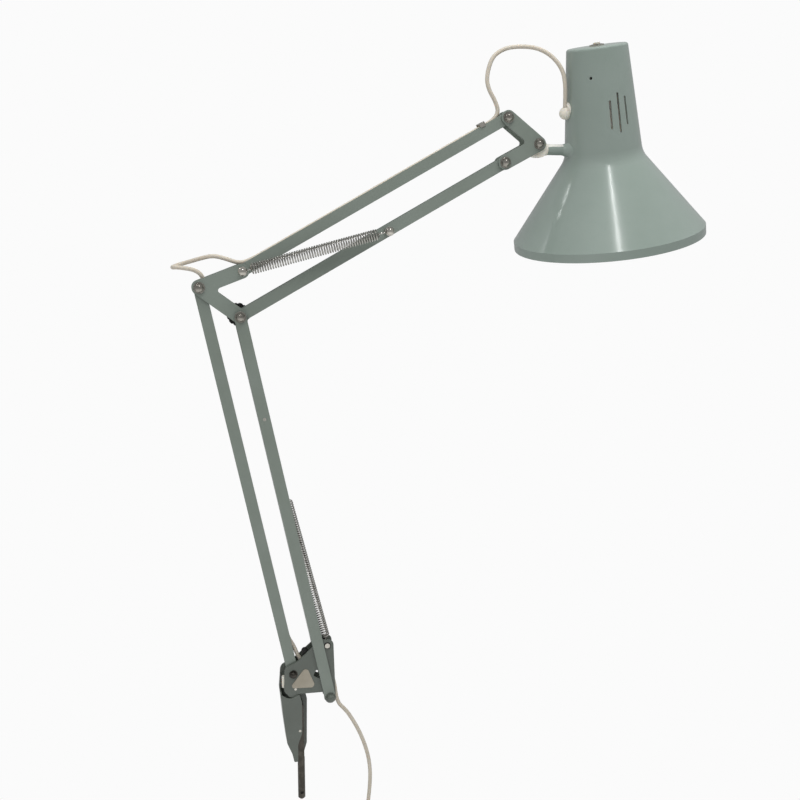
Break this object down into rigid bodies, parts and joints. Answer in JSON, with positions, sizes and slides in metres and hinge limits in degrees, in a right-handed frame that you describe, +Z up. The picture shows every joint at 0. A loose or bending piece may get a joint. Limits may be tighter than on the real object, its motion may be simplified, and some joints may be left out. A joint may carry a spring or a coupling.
{
  "type": "desk lamp",
  "caption": "Spring-balanced desk lamp head on two parallel-link arms, held by a round pin, with a bell shade, push switch and mains lead.",
  "frame": {"origin": "on the axis of the swivel pin, just below the yoke, where the socket of a clamp or base stops", "axes": "+Z up along the pin, +X towards the lamp head in the plane of the arms, -Y the side with the badge"},
  "size_m": [0.5075, 0.1815, 0.895],
  "materials": {
    "enamel": "satin enamel",
    "shade_enamel": "satin enamel",
    "dark_steel": "blackened steel",
    "nickel": "bright nickel plate",
    "spring_steel": "bright wire",
    "badge": "matte, blank",
    "black_rubber": "matte",
    "black_plastic": "satin",
    "white_nylon": "satin",
    "cord_sheath": "soft sheen",
    "brass": "bright",
    "holder_plastic": "moulded",
    "aluminium": "spun",
    "bulb_glass": "frosted"
  },
  "bodies": {
    "base": {"swivel_pin": "dark_steel", "yoke": "enamel", "yoke_rivets": "nickel", "yoke_bush": "white_nylon", "base_plate_near": "enamel", "base_plate_far": "enamel", "badge_plate": "badge", "stop_buffer": "black_rubber", "base_bolts": "nickel", "base_nuts": "nickel", "base_washers": "nickel", "lower_spring_anchor": "nickel", "cord_in_base": "cord_sheath", "lead_free": "cord_sheath", "lead_coil": "cord_sheath", "lead_tail": "cord_sheath", "plug": "cord_sheath", "plug_pins": "brass"},
    "rear_arm": {"rear_arm": "enamel", "cord_in_rear_arm": "cord_sheath"},
    "front_arm": {"front_arm": "enamel", "front_arm_spring_pin": "nickel", "lower_spring": "spring_steel"},
    "elbow": {"elbow_plate_near": "enamel", "elbow_plate_far": "enamel", "elbow_bolts": "nickel", "elbow_spring_stud": "nickel", "elbow_nuts": "nickel", "elbow_washers": "nickel", "friction_knob": "black_plastic", "elbow_cord_rear": "cord_sheath", "elbow_cord_top": "cord_sheath"},
    "top_bar": {"upper_top_bar": "enamel", "cord_in_top_bar": "cord_sheath", "cord_clip": "nickel"},
    "bottom_bar": {"upper_bottom_bar": "enamel", "bottom_bar_spring_stud": "dark_steel", "upper_spring": "spring_steel"},
    "fork": {"fork_plate_near": "enamel", "fork_plate_far": "enamel", "fork_bolts": "nickel", "fork_nuts": "nickel", "fork_washers": "nickel", "head_cord_bar": "cord_sheath", "head_cord_fork": "cord_sheath"},
    "knuckle": {"knuckle": "nickel", "knuckle_collar": "white_nylon"},
    "shade": {"shade_bracket": "shade_enamel", "bracket_nut": "nickel", "shade_shell": "shade_enamel", "cord_grommet": "white_nylon", "head_cord_shade": "cord_sheath", "lampholder_shell": "holder_plastic", "lampholder_contact": "brass", "holder_plate": "aluminium", "bulb_cap": "aluminium", "bulb_glass": "bulb_glass", "switch_body": "black_plastic", "switch_nut": "black_plastic"},
    "switch_button": {"switch_button": "white_nylon"}
  },
  "joints": [
    {"name": "lower_arm_pivot", "type": "hinge", "parent": "base", "child": "rear_arm", "pos_m": [-0.0068, 0, 0.0943], "axis": [0, 1, 0], "range_deg": [-25, 20], "deforming": ["cord_in_base"]},
    {"name": "front_arm_pivot", "type": "hinge", "parent": "base", "child": "front_arm", "pos_m": [0.0282, 0, 0.0683], "axis": [0, 1, 0], "range_deg": [-25, 20], "deforming": ["lower_spring"]},
    {"name": "elbow_rear_pivot", "type": "hinge", "parent": "rear_arm", "child": "elbow", "pos_m": [-0.08325, 0, 0.46142], "axis": [0, 1, 0], "range_deg": [-20, 25], "deforming": ["elbow_cord_rear"]},
    {"name": "upper_arm_pivot", "type": "hinge", "parent": "elbow", "child": "bottom_bar", "pos_m": [-0.04825, 0, 0.43543], "axis": [0, 1, 0], "range_deg": [-30, 65], "deforming": ["upper_spring"]},
    {"name": "top_bar_pivot", "type": "hinge", "parent": "elbow", "child": "top_bar", "pos_m": [-0.04585, 0, 0.47573], "axis": [0, 1, 0], "range_deg": [-30, 65], "deforming": ["elbow_cord_top"]},
    {"name": "fork_pivot", "type": "hinge", "parent": "top_bar", "child": "fork", "pos_m": [0.19896, 0, 0.61367], "axis": [0, 1, 0], "range_deg": [-65, 30], "deforming": ["head_cord_bar"]},
    {"name": "head_tilt", "type": "hinge", "parent": "fork", "child": "knuckle", "pos_m": [0.22896, 0, 0.59077], "axis": [0, 1, 0], "range_deg": [-35, 25], "deforming": ["head_cord_fork"]},
    {"name": "head_swivel", "type": "hinge", "parent": "knuckle", "child": "shade", "pos_m": [0.244, 0, 0.5864], "axis": [1, 0, 0], "range_deg": [-50, 50], "deforming": ["head_cord_shade"]},
    {"name": "switch_press", "type": "slide", "parent": "shade", "child": "switch_button", "axis": [0.1735, 0.1677, -0.9705], "range_m": [0, 0.002], "stiffness_N_per_m": 300}
  ],
  "couplings": [
    {"joint": "front_arm_pivot", "follows": "lower_arm_pivot", "ratio": 1},
    {"joint": "elbow_rear_pivot", "follows": "lower_arm_pivot", "ratio": -1},
    {"joint": "top_bar_pivot", "follows": "upper_arm_pivot", "ratio": 1},
    {"joint": "fork_pivot", "follows": "upper_arm_pivot", "ratio": -1}
  ]
}
